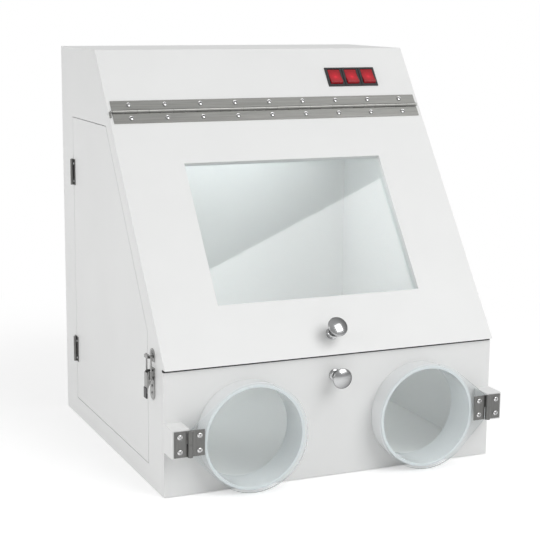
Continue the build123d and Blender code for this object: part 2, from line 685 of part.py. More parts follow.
left_side = prism(side_points, -SIDE, -INSIDE) - side_sheet(DOOR_SEAM, -SIDE - SHEET, 3 * SHEET)
left_side = drill(left_side, frame_screw_places, SIDE_SCREW_HOLE, SIDE_SCREW_LENGTH + SEAT_GAP)
left_side = drill(left_side, latch_screw_places, SIDE_SCREW_HOLE, LATCH_SCREW_LENGTH + SEAT_GAP)
save("left_side_panel", left_side)

save("base_panel", board((-INSIDE, INSIDE), (SEAT_FRONT, BACK - SHEET), (0, SHEET)))

ceiling_top = CEILING_HEIGHT + SHEET
save("chamber_ceiling", prism(
    [(BACK - SHEET, CEILING_HEIGHT), (slope_y(CEILING_HEIGHT, SEAT), CEILING_HEIGHT),
     (slope_y(ceiling_top, SEAT), ceiling_top), (BACK - SHEET, ceiling_top)], -INSIDE, INSIDE))
save("top_panel", prism(
    [(BACK - SHEET, HEIGHT - SHEET), (slope_y(HEIGHT - SHEET, SEAT), HEIGHT - SHEET),
     (slope_y(HEIGHT, SEAT), HEIGHT), (BACK - SHEET, HEIGHT)], -INSIDE, INSIDE))

inlet_place = Location(Plane(origin=(INLET_X, BACK, INLET_HEIGHT), x_dir=(-1, 0, 0), z_dir=(0, 1, 0)))
inlet_cutout = Box(
    INLET_BODY_WIDTH + 2 * CUTOUT_CLEARANCE, INLET_BODY_HEIGHT + 2 * CUTOUT_CLEARANCE, 3 * SHEET)
back_sheet = board((-INSIDE, INSIDE), (BACK - SHEET, BACK), (0, HEIGHT))
save("back_panel", back_sheet - inlet_place * inlet_cutout)


# Lower front panel with its seal and cleats

port_xs = (-PORT_SPACING / 2, PORT_SPACING / 2)
port_axes = [on_front(x, PORT_HEIGHT) for x in port_xs]
panel = board((-SIDE, SIDE), (FRONT, PANEL_BACK), (PANEL_BOTTOM, PANEL_TOP))
panel = drill(panel, [axis * Pos(0, 0, FRONT_SHEET) for axis in port_axes], TUBE_RADIUS + FIT, 3 * FRONT_SHEET)
panel = drill(panel, [panel_knob_place], KNOB_SCREW + FIT, 2 * FRONT_SHEET)
save("lower_front_panel", panel)
save("lip_seal", board(
    (-SIDE, SIDE), (PANEL_BACK - SEAL_DEPTH, PANEL_BACK), (PANEL_TOP, PANEL_TOP + SEAL_THICKNESS)))

cleat_low = SHEET + SEAT_GAP
tube_reach = PORT_SPACING / 2 + TUBE_RADIUS
middle_half = PORT_SPACING / 2 - TUBE_RADIUS - CLEAT_MARGIN
cleat_spans = [
    (-INSIDE + CLEAT_MARGIN, -tube_reach - CLEAT_MARGIN),
    (-middle_half, middle_half),
    (tube_reach + CLEAT_MARGIN, INSIDE - CLEAT_MARGIN)]
save("panel_cleats", group([
    board(span, (PANEL_BACK, PANEL_BACK + CLEAT_DEPTH), (cleat_low, cleat_low + CLEAT_HEIGHT))
    for span in cleat_spans]))


# Arm ports: a tube through the panel, a clear cover, a block and a lift-off hinge each

cover_back = COVER_STANDOFF - COVER_THICKNESS
tab_height = PORT_HEIGHT + TAB_RAISE
tab_reach = SIDE - BLOCK_WIDTH - TAB_GAP - PORT_SPACING / 2
block_inner = SIDE - BLOCK_WIDTH
hinge_x = (block_inner + block_inner - TAB_GAP) / 2 + TAB_GAP * 0.8
cover_front_y = FRONT - COVER_STANDOFF
leaf_heights = two_rows(COVER_SCREW_SPACING)
COVER_SCREW_HOLE = SCREW_SHANK + FIT


def cover_leaf(own):
    return hinge_leaf(
        COVER_LEAF_LENGTH, COVER_LEAF_REACH, COVER_LEAF_THICKNESS, COVER_KNUCKLE, COVER_PIN + FIT, 2, own)


def port_cover(side):
    """A disc with a tab towards its hinge, in the frame of the port's axis. Clear sheet."""
    tab = Pos(side * tab_reach / 2, TAB_RAISE) * Rectangle(tab_reach, TAB_HEIGHT)
    outline = make_hull(Circle(COVER_RADIUS).edges() + tab.edges())
    return Pos(0, 0, cover_back) * extrude(outline, COVER_THICKNESS, dir=(0, 0, 1))


tube = Pos(0, 0, cover_back - SEAT_GAP) * (
    Cylinder(TUBE_RADIUS, cover_back - SEAT_GAP + FRONT_SHEET + TUBE_INSIDE, align=BENEATH)
    - Cylinder(TUBE_RADIUS - TUBE_WALL, 4 * COVER_STANDOFF + 4 * TUBE_INSIDE))
cover_pins = []
block_screw_places = []
for name, side, axis in (("left", -1, port_axes[0]), ("right", 1, port_axes[1])):
    frame = Location(Plane(
        origin=(side * hinge_x, cover_front_y - COVER_KNUCKLE, tab_height), x_dir=(-1, 0, 0), z_dir=(0, 0, 1)))
    cover_places = leaf_screw_places(
        frame, side, COVER_SCREW_OFFSET, COVER_LEAF_THICKNESS, COVER_KNUCKLE, leaf_heights)
    block_places = leaf_screw_places(
        frame, -side, COVER_SCREW_OFFSET, COVER_LEAF_THICKNESS, COVER_KNUCKLE, leaf_heights)
    upper = cover_leaf([1])
    lower = cover_leaf([0])
    if side > 0:
        lower = mirror(lower, about=Plane.YZ)
    else:
        upper = mirror(upper, about=Plane.YZ)
    block = board(
        sorted((side * block_inner, side * SIDE)), (cover_front_y, FRONT),
        (tab_height - BLOCK_HEIGHT / 2, tab_height + BLOCK_HEIGHT / 2))
    save(f"{name}_port_tube", axis * tube)
    save(f"{name}_port_cover", drill(axis * port_cover(side), cover_places, COVER_SCREW_HOLE, BLOCK_SCREW_LENGTH))
    save(f"{name}_cover_leaf", drill(frame * upper, cover_places, COVER_SCREW_HOLE, BLOCK_SCREW_LENGTH))
    save(f"{name}_block_leaf", drill(frame * lower, block_places, COVER_SCREW_HOLE, BLOCK_SCREW_LENGTH))
    save(f"{name}_cover_screws", screws(
        cover_places, COVER_SCREW_HEAD, SCREW_SHANK, COVER_LEAF_THICKNESS + COVER_THICKNESS))
    save(f"{name}_hinge_block", drill(block, block_places, COVER_SCREW_HOLE, BLOCK_SCREW_LENGTH + SEAT_GAP))
    cover_pins.append(frame * Cylinder(COVER_PIN, COVER_LEAF_LENGTH))
    block_screw_places = block_screw_places + block_places
save("cover_pins", group(cover_pins))
save("block_leaf_screws", screws(block_screw_places, COVER_SCREW_HEAD, SCREW_SHANK, BLOCK_SCREW_LENGTH))


# Lamps under the ceiling, each between two holders, and the reflector over the germicidal one

lamp_height = CEILING_HEIGHT - LAMP_DROP
pin_rows = two_rows(LAMP_PIN_SPACING)


def lamp():
    """A tube lamp along X: glass, two caps and two pins at each end."""
    along_x = Rot(0, 90, 0)
    body = along_x * Cylinder(LAMP_RADIUS, LAMP_LENGTH - 2 * LAMP_CAP_LENGTH)
    body = body + along_x * Cylinder(LAMP_RADIUS - LAMP_CAP_STEP, LAMP_LENGTH)
    for y in pin_rows:
        body = body + Pos(0, y, 0) * along_x * Cylinder(LAMP_PIN, LAMP_LENGTH + 2 * LAMP_PIN_LENGTH)
    return body


def lamp_holder(side):
    """A holder that hangs from the ceiling, rounded below, with holes for the lamp's pins."""
    drop = Pos(0, LAMP_DROP / 2) * Rectangle(2 * HOLDER_RADIUS, LAMP_DROP)
    outline = drop + Circle(HOLDER_RADIUS)
    for y in pin_rows:
        outline = outline - Pos(y, 0) * Circle(LAMP_PIN + FIT)
    start = LAMP_LENGTH / 2 + SEAT_GAP
    low = start if side > 0 else -start - HOLDER_WIDTH
    return extrude(Plane.YZ.offset(low) * outline, HOLDER_WIDTH, dir=(1, 0, 0))


def reflector_prism(lift, length):
    flat = REFLECTOR_TOP / 2
    flare = REFLECTOR_BOTTOM / 2
    points = [(-flat, lift), (flat, lift), (flare, lift - REFLECTOR_DROP), (-flare, lift - REFLECTOR_DROP)]
    return prism(points, -length / 2, length / 2)


lamp_places = {"uv_lamp": Pos(0, UV_LAMP_Y, lamp_height), "white_lamp": Pos(0, WHITE_LAMP_Y, lamp_height)}
for name, place in lamp_places.items():
    save(name, place * lamp())
save("lampholders", group([place * lamp_holder(side) for place in lamp_places.values() for side in (-1, 1)]))
reflector = reflector_prism(0, REFLECTOR_LENGTH) - reflector_prism(-REFLECTOR_SHEET, 2 * REFLECTOR_LENGTH)
save("lamp_reflector", Pos(0, UV_LAMP_Y, CEILING_HEIGHT) * reflector)


# Ballast on the ceiling, and the power inlet in the back

ballast = Box(BALLAST_LENGTH, BALLAST_WIDTH, BALLAST_HEIGHT, align=ABOVE)
ballast = ballast + Box(
    BALLAST_LENGTH + 2 * BALLAST_FOOT, BALLAST_WIDTH, BALLAST_FOOT_THICKNESS, align=ABOVE)
save("ballast", Pos(BALLAST_X, BALLAST_Y, ceiling_top) * ballast)


def power_inlet():
    """A three-blade inlet: flange on the back, body through it, recess with the blades."""
    def socket_outline(width, height):
        outline = Rectangle(width, height)
        top_corners = outline.vertices().sort_by(Axis.Y)[-2:]
        return chamfer(top_corners, INLET_CORNER)

    flange = extrude(RectangleRounded(INLET_FLANGE_WIDTH, INLET_FLANGE_HEIGHT, INLET_CORNER), INLET_FLANGE_THICKNESS)
    body = Box(INLET_BODY_WIDTH, INLET_BODY_HEIGHT, INLET_DEPTH, align=BENEATH)
    recess = Pos(0, 0, INLET_FLANGE_THICKNESS - INLET_RECESS) * extrude(
        socket_outline(INLET_BODY_WIDTH - 2 * INLET_WALL, INLET_BODY_HEIGHT - 2 * INLET_WALL), INLET_RECESS)
    inlet = flange + body - recess
    for x, y in ((-INLET_BLADE_SPACING, -INLET_WALL), (0, INLET_WALL), (INLET_BLADE_SPACING, -INLET_WALL)):
        blade = Box(INLET_BLADE_WIDTH, INLET_BLADE_HEIGHT, INLET_RECESS - INLET_WALL, align=ABOVE)
        inlet = inlet + Pos(x, y, INLET_FLANGE_THICKNESS - INLET_RECESS) * blade
    return inlet


save("power_inlet", inlet_place * power_inlet())
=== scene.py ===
import json
import math

import bmesh
import bpy
from mathutils import Matrix, Vector

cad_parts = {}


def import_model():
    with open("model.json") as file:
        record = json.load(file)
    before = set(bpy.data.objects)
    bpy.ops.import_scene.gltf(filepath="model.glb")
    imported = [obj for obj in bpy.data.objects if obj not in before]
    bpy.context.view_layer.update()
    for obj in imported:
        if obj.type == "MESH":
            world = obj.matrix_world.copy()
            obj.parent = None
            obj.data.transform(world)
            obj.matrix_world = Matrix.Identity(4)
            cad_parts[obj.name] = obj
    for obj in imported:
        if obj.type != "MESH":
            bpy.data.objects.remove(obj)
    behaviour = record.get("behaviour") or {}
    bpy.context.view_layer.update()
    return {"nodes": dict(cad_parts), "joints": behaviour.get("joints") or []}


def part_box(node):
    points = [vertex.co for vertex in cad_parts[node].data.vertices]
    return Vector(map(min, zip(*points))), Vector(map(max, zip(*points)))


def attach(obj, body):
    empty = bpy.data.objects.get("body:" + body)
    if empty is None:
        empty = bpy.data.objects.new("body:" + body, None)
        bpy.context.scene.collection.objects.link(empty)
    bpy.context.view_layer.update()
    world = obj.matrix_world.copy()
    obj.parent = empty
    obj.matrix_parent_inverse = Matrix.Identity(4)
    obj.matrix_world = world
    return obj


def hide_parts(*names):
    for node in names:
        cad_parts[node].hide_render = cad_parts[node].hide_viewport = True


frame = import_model()
NODES = frame["nodes"]
MM = 0.001

# Places that follow from the frame, in metres
CARCASS_LOW, CARCASS_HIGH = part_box("left_side_panel")
DOOR_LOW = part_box("window_door")[0]
TOP_DEPTH = 0.176
TOP_EDGE_Y = CARCASS_HIGH.y - TOP_DEPTH
HEIGHT = CARCASS_HIGH.z
SLOPE_ANGLE = math.atan2(TOP_EDGE_Y - DOOR_LOW.y, HEIGHT - DOOR_LOW.z)
SLOPE_SIN = math.sin(SLOPE_ANGLE)
SLOPE_COS = math.cos(SLOPE_ANGLE)
LEFT_X = CARCASS_LOW.x
FRONT_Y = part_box("lower_front_panel")[0].y
JOINTS = {joint["name"]: joint for joint in frame["joints"]}


def placement(origin, x_axis, y_axis, z_axis):
    """The matrix that carries local axes to the given directions at an origin."""
    columns = [Vector(axis).to_4d() for axis in (x_axis, y_axis, z_axis)]
    for column in columns:
        column.w = 0
    columns.append(Vector(origin).to_4d())
    return Matrix(columns).transposed()


def on_slope(x, down, out=0.0):
    """X to the right, Y up the slope, Z out of its face."""
    y = TOP_EDGE_Y - down * SLOPE_SIN - out * SLOPE_COS
    z = HEIGHT - down * SLOPE_COS + out * SLOPE_SIN
    return placement((x, y, z), (1, 0, 0), (0, SLOPE_SIN, SLOPE_COS), (0, -SLOPE_COS, SLOPE_SIN))


def on_front(x, y, z):
    """X to the right, Y up, Z towards the viewer."""
    return placement((x, y, z), (1, 0, 0), (0, 0, 1), (0, -1, 0))


def on_left(x, y, z):
    """X to the rear, Y up, Z out of the left side."""
    return placement((x, y, z), (0, -1, 0), (0, 0, 1), (-1, 0, 0))


def down_slope_of(point):
    """How far down the slope's face a point lies."""
    return (TOP_EDGE_Y - point.y) * SLOPE_SIN + (HEIGHT - point.z) * SLOPE_COS


# Node helpers for the materials

class Shader:
    """A material's node tree with a Principled shader, built by short calls."""

    def __init__(self, name, base, roughness, metallic=0.0, **sockets):
        self.material = bpy.data.materials.new(name)
        self.material.use_nodes = True
        self.tree = self.material.node_tree
        self.tree.nodes.clear()
        self.output = self.tree.nodes.new("ShaderNodeOutputMaterial")
        self.principled = self.tree.nodes.new("ShaderNodeBsdfPrincipled")
        self.link(self.principled.outputs["BSDF"], self.output.inputs["Surface"])
        self.set(self.principled, **{"Base Color": (*base, 1), "Roughness": roughness, "Metallic": metallic})
        self.set(self.principled, **sockets)
        self.coordinates = self.tree.nodes.new("ShaderNodeTexCoord")

    def set(self, node, **values):
        for socket, value in values.items():
            node.inputs[socket].default_value = value
        return node

    def link(self, output, target):
        self.tree.links.new(output, target)

    def node(self, kind, **values):
        return self.set(self.tree.nodes.new(kind), **values)

    def noise(self, scale, stretch=(1, 1, 1), detail=3.0, rough=0.5):
        """Noise over the model's own space, stretched along its axes."""
        mapping = self.node("ShaderNodeMapping", Scale=stretch)
        self.link(self.coordinates.outputs["Object"], mapping.inputs["Vector"])
        noise = self.node("ShaderNodeTexNoise", Scale=scale, Detail=detail, Roughness=rough)
        self.link(mapping.outputs["Vector"], noise.inputs["Vector"])
        return noise.outputs["Fac"]

    def ramp(self, factor, stops):
        """A colour ramp with (position, colour) stops."""
        ramp = self.tree.nodes.new("ShaderNodeValToRGB")
        elements = ramp.color_ramp.elements
        while len(elements) < len(stops):
            elements.new(0.5)
        for element, (position, colour) in zip(elements, stops):
            element.position = position
            element.color = (*colour, 1)
        self.link(factor, ramp.inputs["Fac"])
        return ramp.outputs["Color"]

    def vary(self, socket, factor, low, high):
        """Lets a socket run from low to high with a factor."""
        span = self.node("ShaderNodeMapRange", **{"To Min": low, "To Max": high})
        self.link(factor, span.inputs["Value"])
        self.link(span.outputs["Result"], self.principled.inputs[socket])

    def colour(self, factor, stops):
        self.link(self.ramp(factor, stops), self.principled.inputs["Base Color"])

    def bump(self, factor, strength, distance):
        bump = self.node("ShaderNodeBump", Strength=strength, Distance=distance)
        self.link(factor, bump.inputs["Height"])
        self.link(bump.outputs["Normal"], self.principled.inputs["Normal"])

    def math(self, operation, *values):
        node = self.tree.nodes.new("ShaderNodeMath")
        node.operation = operation
        for index, value in enumerate(values):
            if isinstance(value, (int, float)):
                node.inputs[index].default_value = value
            else:
                self.link(value, node.inputs[index])
        return node.outputs["Value"]


def shade(colour, factor):
    return tuple(min(1.0, channel * factor) for channel in colour)


# Materials

def sheet_material(name, base, roughness=0.36, grain=900):
    """White satin sheet: faint clouding, a fine skin and a soft sheen that wanders a little."""
    shader = Shader(name, base, roughness, **{"Specular IOR Level": 0.42})
    shader.colour(shader.noise(9, detail=4), [(0.3, shade(base, 0.985)), (0.7, shade(base, 1.012))])
    shader.vary("Roughness", shader.noise(30, detail=5), roughness - 0.05, roughness + 0.06)
    shader.bump(shader.noise(grain, detail=2), 0.05, 0.0004)
    return shader.material


def pipe_material():
    """Glossy white pipe with faint lengthwise drawing marks."""
    base = (0.80, 0.815, 0.82)
    shader = Shader("white_pipe", base, 0.2, **{"Specular IOR Level": 0.5})
    shader.colour(shader.noise(14), [(0.3, shade(base, 1.0)), (0.7, shade(base, 1.03))])
    shader.vary("Roughness", shader.noise(60, (1, 0.05, 1)), 0.14, 0.26)
    shader.bump(shader.noise(300, (1, 0.04, 1)), 0.04, 0.0004)
    return shader.material


def clear_material(name, tint, gloss=0.02, ior=1.45):
    """Clear sheet that lets light and shadow rays through, with a tint and real reflections."""
    shader = Shader(name, tint, gloss, **{"Transmission Weight": 1.0, "IOR": ior})
    shader.vary("Roughness", shader.noise(25, detail=4), gloss * 0.4, gloss * 1.6)
    through = shader.node("ShaderNodeBsdfTransparent", Color=(*tint, 1))
    path = shader.tree.nodes.new("ShaderNodeLightPath")
    soft_ray = shader.math("MAXIMUM", path.outputs["Is Shadow Ray"], path.outputs["Is Diffuse Ray"])
    mix = shader.tree.nodes.new("ShaderNodeMixShader")
    shader.link(soft_ray, mix.inputs["Fac"])
    shader.link(shader.principled.outputs["BSDF"], mix.inputs[1])
    shader.link(through.outputs["BSDF"], mix.inputs[2])
    shader.link(mix.outputs["Shader"], shader.output.inputs["Surface"])
    return shader.material


def brushed_material(name, base, roughness, stretch, marks=0.25):
    """Metal with fine marks along one direction."""
    shader = Shader(name, base, roughness, 1.0)
    lines = shader.noise(700, stretch, detail=4, rough=0.7)
    shader.colour(lines, [(0.25, shade(base, 1 - marks)), (0.75, shade(base, 1 + marks * 0.5))])
    shader.vary("Roughness", lines, roughness - 0.07, roughness + 0.1)
    shader.bump(lines, 0.12, 0.0002)
    return shader.material


def chrome_material(name="chrome", base=(0.58, 0.585, 0.59), roughness=0.17, edge=0.16):
    """Polished metal whose base colour is darkened where it turns away: painted shade standing in for the
    reflection of a dim ceiling.
    """
    shader = Shader(name, base, roughness, 1.0)
    shader.vary("Roughness", shader.noise(180, detail=5), roughness * 0.6, roughness * 1.8)
    painted_rim_shade = shader.node("ShaderNodeLayerWeight", Blend=0.45)
    # Painted shade: the base colour falls to edge times itself where the surface turns away from the view,
    # in place of a dark reflection
    shader.colour(painted_rim_shade.outputs["Facing"], [(0.08, base), (0.55, shade(base, edge))])
    return shader.material


def plastic_material(name, base, roughness, grain=1600, depth=0.12):
    """Moulded plastic or rubber with a fine grain."""
    shader = Shader(name, base, roughness)
    grainy = shader.noise(grain, detail=3)
    shader.colour(grainy, [(0.3, shade(base, 0.85)), (0.7, shade(base, 1.15))])
    shader.vary("Roughness", shader.noise(90), roughness - 0.06, roughness + 0.08)
    shader.bump(grainy, depth, 0.0002)
    return shader.material


def glow_cap_material(name, centre):
    """A red cap lit from below: a hot middle that falls off to deep red at the rim."""
    shader = Shader(name, (0.42, 0.003, 0.012), 0.16, **{"Coat Weight": 0.3, "Coat Roughness": 0.08})
    distance = shader.node("ShaderNodeVectorMath")
    distance.operation = "DISTANCE"
    distance.inputs[1].default_value = centre
    shader.link(shader.coordinates.outputs["Object"], distance.inputs[0])
    spread = shader.node("ShaderNodeMapRange", **{
        "From Min": 0.0, "From Max": 0.0105, "To Min": 0.0, "To Max": 1.0})
    shader.link(distance.outputs["Value"], spread.inputs["Value"])
    glow = shader.ramp(spread.outputs["Result"], [
        (0.0, (0.85, 0.03, 0.06)), (0.3, (0.42, 0.004, 0.016)), (1.0, (0.06, 0.0005, 0.002))])
    shader.link(glow, shader.principled.inputs["Emission Color"])
    shader.principled.inputs["Emission Strength"].default_value = 0.62
    shader.colour(shader.noise(500), [(0.3, (0.27, 0.002, 0.008)), (0.7, (0.33, 0.003, 0.011))])
    shader.bump(shader.noise(900), 0.03, 0.0002)
    return shader.material


def lamp_glow_material(name, colour, strength):
    """The lit wall of a tube lamp, a little darker towards its ends."""
    shader = Shader(name, (0.85, 0.87, 0.9), 0.25)
    parts = shader.tree.nodes.new("ShaderNodeSeparateXYZ")
    shader.link(shader.coordinates.outputs["Object"], parts.inputs["Vector"])
    reach = shader.math("ABSOLUTE", parts.outputs["X"])
    fall = shader.node("ShaderNodeMapRange", **{
        "From Min": 0.11, "From Max": 0.155, "To Min": 1.0, "To Max": 0.45})
    shader.link(reach, fall.inputs["Value"])
    dim = shader.ramp(fall.outputs["Result"], [(0.0, (0, 0, 0)), (1.0, colour)])
    shader.link(dim, shader.principled.inputs["Emission Color"])
    shader.principled.inputs["Emission Strength"].default_value = strength
    return shader.material


WHITE = (0.83, 0.835, 0.83)
MATERIALS = {
    "white_sheet": sheet_material("white_sheet", WHITE),
    "white_pipe": pipe_material(),
    "clear_pane": clear_material("clear_pane", (0.96, 0.99, 0.993)),
    "clear_cover": clear_material("clear_cover", (0.965, 0.985, 0.99), ior=1.12),
    "piano_steel": brushed_material("piano_steel", (0.34, 0.34, 0.325), 0.34, (0.02, 1, 1)),
    "latch_steel": brushed_material("latch_steel", (0.38, 0.38, 0.375), 0.3, (1, 1, 0.05)),
    "hinge_steel": brushed_material("hinge_steel", (0.2, 0.2, 0.195), 0.36, (1, 1, 0.04)),
    # Both chrome materials carry the painted rim shade
    "chrome": chrome_material(),
    "screw_chrome": chrome_material("screw_chrome", (0.7, 0.7, 0.7), 0.16, 0.3),
    "rubber": plastic_material("rubber", (0.02, 0.02, 0.02), 0.6),
    "black_plastic": plastic_material("black_plastic", (0.022, 0.022, 0.024), 0.34),
    "holder_plastic": plastic_material("holder_plastic", (0.78, 0.78, 0.76), 0.4, depth=0.04),
    "bright_aluminium": brushed_material("bright_aluminium", (0.8, 0.81, 0.82), 0.2, (0.05, 1, 1), 0.08),
    "ballast_paint": plastic_material("ballast_paint", (0.72, 0.72, 0.7), 0.4, depth=0.05),
    "white_lamp_glow": lamp_glow_material("white_lamp_glow", (1.0, 0.98, 0.95), 8.0),
    "uv_lamp_glow": lamp_glow_material("uv_lamp_glow", (0.62, 0.86, 1.0), 1.2),
    "cap_metal": brushed_material("cap_metal", (0.75, 0.75, 0.74), 0.28, (1, 1, 0.1), 0.1),
}


# The finish of each CAD node: its material and how far its edges are eased

FINISHES = [
    ("white_sheet", 0.5, """base_panel back_panel left_side_panel right_side_panel top_panel switch_fascia
        chamber_ceiling side_door_stop lower_front_panel panel_cleats left_hinge_block right_hinge_block
        window_door glazing_frame side_door"""),
    ("white_pipe", 0.6, "left_port_tube right_port_tube"),
    ("clear_cover", 0.4, "left_port_cover right_port_cover"),
    ("clear_pane", 0.2, "window_pane"),
    ("piano_steel", 0.12, "piano_lower_leaf piano_upper_leaf piano_pin"),
    ("latch_steel", 0.15, "latch_base latch_strike latch_lever latch_pivot latch_bail"),
    ("hinge_steel", 0.15, """left_block_leaf right_block_leaf left_cover_leaf right_cover_leaf cover_pins
        side_door_leaves side_frame_leaves side_hinge_pins"""),
    ("rubber", 0.3, "lip_seal"),
    ("black_plastic", 0.3, "switch_housings power_inlet latch_lever_tip"),
    ("holder_plastic", 0.6, "lampholders"),
    ("bright_aluminium", 0.1, "lamp_reflector"),
    ("ballast_paint", 0.5, "ballast"),
    ("screw_chrome", 0.1, "panel_knob_screw door_knob_screw"),
]


def ease_edges(piece, width_mm, segments=2):
    """Welds the faces' shared points, joins flat faces, rounds the sharp edges and keeps the flats flat."""
    weld = piece.modifiers.new("weld", "WELD")
    weld.merge_threshold = 0.00001
    flat = piece.modifiers.new("flat", "DECIMATE")
    flat.decimate_type = "DISSOLVE"
    flat.angle_limit = math.radians(0.3)
    bevel = piece.modifiers.new("bevel", "BEVEL")
    bevel.width = width_mm * MM
    bevel.segments = segments
    bevel.limit_method = "ANGLE"
    bevel.angle_limit = math.radians(35)
    normals = piece.modifiers.new("normals", "WEIGHTED_NORMAL")
    normals.weight = 100


def paint(piece, material):
    piece.data.materials.clear()
    piece.data.materials.append(material)


for material_name, edge, names in FINISHES:
    for node_name in names.split():
        paint(NODES[node_name], MATERIALS[material_name])
        ease_edges(NODES[node_name], edge)


# Mesh helpers

def finish_mesh(name, mesh, material, body, replaced=()):
    """Links a mesh as a piece that rides on a body."""
    piece = bpy.data.objects.new(name, mesh)
    bpy.context.scene.collection.objects.link(piece)
    paint(piece, material)
    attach(piece, body)
    if replaced:
        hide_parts(*replaced)
    return piece


def mesh_of(name, bm, smooth_angle=32):
    """A mesh from a bmesh, shaded smooth up to an angle."""
    bmesh.ops.recalc_face_normals(bm, faces=bm.faces)
    mesh = bpy.data.meshes.new(name)
    for face in bm.faces:
        face.smooth = True
    limit = math.radians(smooth_angle)
    for edge in bm.edges:
        if len(edge.link_faces) == 2 and edge.calc_face_angle(0) > limit:
            edge.smooth = False
    bm.to_mesh(mesh)
    bm.free()
    return mesh


def lathe(profile, segments=48):
    """A bmesh turned about Z from (radius, height) points that start and end on the axis."""
    bm = bmesh.new()
    rings = []
    for radius, height in profile:
        if radius < 1e-9:
            rings.append([bm.verts.new((0, 0, height))])
            continue
        turns = [2 * math.pi * i / segments for i in range(segments)]
        rings.append([bm.verts.new((radius * math.cos(t), radius * math.sin(t), height)) for t in turns])
    for low, high in zip(rings, rings[1:]):
        for i in range(segments):
            j = (i + 1) % segments
            corners = [low[i % len(low)], low[j % len(low)], high[j % len(high)], high[i % len(high)]]
            unique = list(dict.fromkeys(corners))
            if len(unique) > 2:
                bm.faces.new(unique)
    return bm


def arc_points(centre, radius, start, end, count):
    """Points on an arc in a profile, angles in degrees."""
    points = []
    for i in range(count + 1):
        turn = math.radians(start + (end - start) * i / count)
        points.append((centre[0] + radius * math.cos(turn), centre[1] + radius * math.sin(turn)))
    return points


def copies(source, places, name, smooth_angle=32):
    """One mesh with a copy of the source mesh at each place."""
    bm = bmesh.new()
    for place in places:
        before = len(bm.verts)
        bm.from_mesh(source)
        bm.verts.ensure_lookup_table()
        bmesh.ops.transform(bm, matrix=place, verts=bm.verts[before:])
    return mesh_of(name, bm, smooth_angle)


# Cross-recessed screws

def cross_cutter(reach, depth, width):
    """A tapered cross that cuts the driver's recess."""
    bm = bmesh.new()
    for turn in (0, math.pi / 2):
        box = bmesh.ops.create_cube(bm, size=1)["verts"]
        for vert in box:
            deep = vert.co.z < 0
            vert.co.x *= 2 * reach * (0.45 if deep else 1.0)
            vert.co.y *= width * (0.55 if deep else 1.0)
            vert.co.z = -depth if deep else depth
        bmesh.ops.rotate(bm, verts=box, cent=(0, 0, 0), matrix=Matrix.Rotation(turn, 3, "Z"))
    return bm


def boolean_cut(target_bm, cutter_bms, name):
    """The first mesh with the others cut out of it."""
    made = []
    for index, bm in enumerate([target_bm, *cutter_bms]):
        mesh = bpy.data.meshes.new(f"{name}_source_{index}")
        bmesh.ops.recalc_face_normals(bm, faces=bm.faces)
        bm.to_mesh(mesh)
        bm.free()
        piece = bpy.data.objects.new(mesh.name, mesh)
        bpy.context.scene.collection.objects.link(piece)
        made.append(piece)
    for cutter in made[1:]:
        modifier = made[0].modifiers.new("cut", "BOOLEAN")
        modifier.operation = "DIFFERENCE"
        modifier.solver = "EXACT"
        modifier.use_self = True
        modifier.object = cutter
    shown = made[0].evaluated_get(bpy.context.evaluated_depsgraph_get())
    result = bpy.data.meshes.new_from_object(shown)
    for piece in made:
        bpy.data.objects.remove(piece)
    return result


def screw_mesh(head, height, shank, length, name):
    """A pan head with a cross recess on a plain shank. Its seat is at z = 0."""
    crown = arc_points((0, height - head * 1.6), head * 1.6, 90, 60, 6)
    profile = [(0, -length), (shank, -length), (shank, 0), (head * 0.97, 0), (head, height * 0.12)]
    rim = [(r, z) for r, z in reversed(crown) if r < head * 0.9]
    profile = profile + [(head, height * 0.42), (head * 0.97, height * 0.6)] + rim
    bm = lathe(profile, 28)
    cutter = cross_cutter(head * 0.62, height * 0.75, head * 0.24)
    bmesh.ops.translate(cutter, verts=cutter.verts, vec=(0, 0, height * 1.02))
    return boolean_cut(bm, [cutter], name)


def solids_of(node):
    """The centres of a CAD node's separate solids."""
    mesh = NODES[node].data
    bm = bmesh.new()
    bm.from_mesh(mesh)
    bmesh.ops.remove_doubles(bm, verts=bm.verts, dist=1e-6)
    seen = set()
    centres = []
    for start in bm.verts:
        if start in seen:
            continue
        island = [start]
        seen.add(start)
        for vert in island:
            for edge in vert.link_edges:
                other = edge.other_vert(vert)
                if other not in seen:
                    seen.add(other)
                    island.append(other)
        low = Vector([min(v.co[i] for v in island) for i in range(3)])
        high = Vector([max(v.co[i] for v in island) for i in range(3)])
        centres.append((low + high) / 2)
    bm.free()
    return centres


TURN = math.radians(137.5)


def screw_group(node, body, head, height, shank, length, seat_of, name):
    """Detailed screws in place of a node of plain ones. seat_of gives the place of a screw's seat."""
    source = screw_mesh(head, height, shank, length, name)
    places = []
    for index, centre in enumerate(solids_of(node)):
        places.append(seat_of(centre) @ Matrix.Rotation(index * TURN, 4, "Z"))
    mesh = copies(source, places, name)
    return finish_mesh(name, mesh, MATERIALS["screw_chrome"], body, [node])


PIANO_LEAF = 1.0 * MM
PIANO_HEAD = 3.3 * MM
COVER_HEAD = 3.6 * MM
HEAD_HEIGHT = 1.6 * MM
SHANK = 1.6 * MM
SIDE_SHANK = 1.2 * MM
COVER_FACE_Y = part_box("left_port_cover")[0].y
COVER_LEAF = 1.2 * MM
SIDE_LEAF = 1.0 * MM


def piano_seat(centre):
    return on_slope(centre.x, down_slope_of(centre), PIANO_LEAF)


def cover_seat(centre):
    return on_front(centre.x, COVER_FACE_Y - COVER_LEAF, centre.z)


def side_seat(centre):
    return on_left(LEFT_X - SIDE_LEAF, centre.y, centre.z)


def latch_seat(centre):
    return on_left(LEFT_X - COVER_LEAF, centre.y, centre.z)


